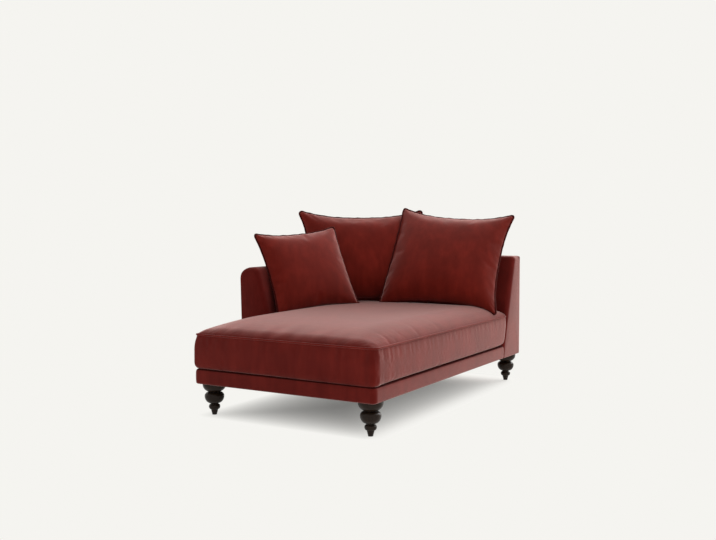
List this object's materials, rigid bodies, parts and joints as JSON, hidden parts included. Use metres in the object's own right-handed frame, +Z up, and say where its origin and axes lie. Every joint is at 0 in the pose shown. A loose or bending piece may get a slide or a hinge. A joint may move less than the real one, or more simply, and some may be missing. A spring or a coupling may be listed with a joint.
{
  "type": "meridienne",
  "caption": "Upholstered chaise with one raked arm, a raked back, a loose boxed seat cushion and loose piped pillows on turned wooden feet.",
  "frame": {"origin": "on the floor, under the middle of the outline", "axes": "+X towards the open side, away from the arm; +Y from the foot end towards the back; +Z up"},
  "size_m": [1.245, 1.782, 1.0158],
  "materials": {
    "velvet": "deep red velvet with a pale sheen at grazing angles",
    "velvet_piping": "cord covered in the same velvet",
    "turned_wood": "almost black-brown satin stain",
    "frame_timber": "planed softwood",
    "hardboard": "smooth brown board",
    "webbing": "woven elastic strap",
    "deck_cloth": "black padded lining",
    "foam": "open-cell foam",
    "fibre": "white fibre",
    "zinc_steel": "zinc-plated",
    "glide_plastic": "black nylon"
  },
  "bodies": {
    "frame": {"arm_bolts": "zinc_steel", "arm_foot_rail": "frame_timber", "arm_front_pad": "velvet", "arm_inside_pad": "velvet", "arm_outside_cover": "velvet", "arm_panel": "hardboard", "arm_rib_front": "frame_timber", "arm_rib_middle": "frame_timber", "arm_rib_rear": "frame_timber", "arm_sill": "frame_timber", "arm_top_rail": "frame_timber", "back_bolts": "zinc_steel", "back_end_left": "velvet", "back_end_right": "velvet", "back_foot_rail": "frame_timber", "back_inside_pad": "velvet", "back_outside_cover": "velvet", "back_panel": "hardboard", "back_rib_arm": "frame_timber", "back_rib_left": "frame_timber", "back_rib_middle": "frame_timber", "back_rib_right": "frame_timber", "back_sill": "frame_timber", "back_top_rail": "frame_timber", "cross_members": "frame_timber", "crosswise_webbing": "webbing", "dust_cloth": "deck_cloth", "foot_arm_front": "turned_wood", "foot_blocks": "frame_timber", "foot_bolts": "zinc_steel", "foot_front_left": "turned_wood", "foot_front_right": "turned_wood", "foot_glides": "glide_plastic", "foot_plates": "zinc_steel", "foot_rear_left": "turned_wood", "foot_rear_right": "turned_wood", "front_band": "velvet", "front_rail": "frame_timber", "left_band": "velvet", "left_rail": "frame_timber", "lengthwise_webbing": "webbing", "rear_rail": "frame_timber", "right_band": "velvet", "right_rail": "frame_timber", "seat_deck": "deck_cloth"},
    "seat_cushion": {"seat_cover": "velvet", "seat_fibre_wrap": "fibre", "seat_foam_core": "foam", "seat_piping": "velvet_piping"},
    "corner_pillow": {"corner_pillow_cover": "velvet", "corner_pillow_filling": "fibre", "corner_pillow_piping": "velvet_piping"},
    "large_pillow": {"large_pillow_cover": "velvet", "large_pillow_filling": "fibre", "large_pillow_piping": "velvet_piping"},
    "small_pillow": {"small_pillow_cover": "velvet", "small_pillow_filling": "fibre", "small_pillow_piping": "velvet_piping"}
  },
  "joints": [
    {"name": "seat_cushion_lift", "type": "slide", "parent": "frame", "child": "seat_cushion", "axis": [0, 0, 1], "range_m": [0, 0.55]},
    {"name": "corner_pillow_lift", "type": "slide", "parent": "seat_cushion", "child": "corner_pillow", "axis": [0.308, -0.394, 0.866], "range_m": [0, 0.45]},
    {"name": "large_pillow_lift", "type": "slide", "parent": "corner_pillow", "child": "large_pillow", "axis": [0.11, -0.488, 0.8659], "range_m": [0, 0.45]},
    {"name": "small_pillow_lift", "type": "slide", "parent": "corner_pillow", "child": "small_pillow", "axis": [0, -0.3499, 0.9368], "range_m": [0, 0.45]}
  ]
}
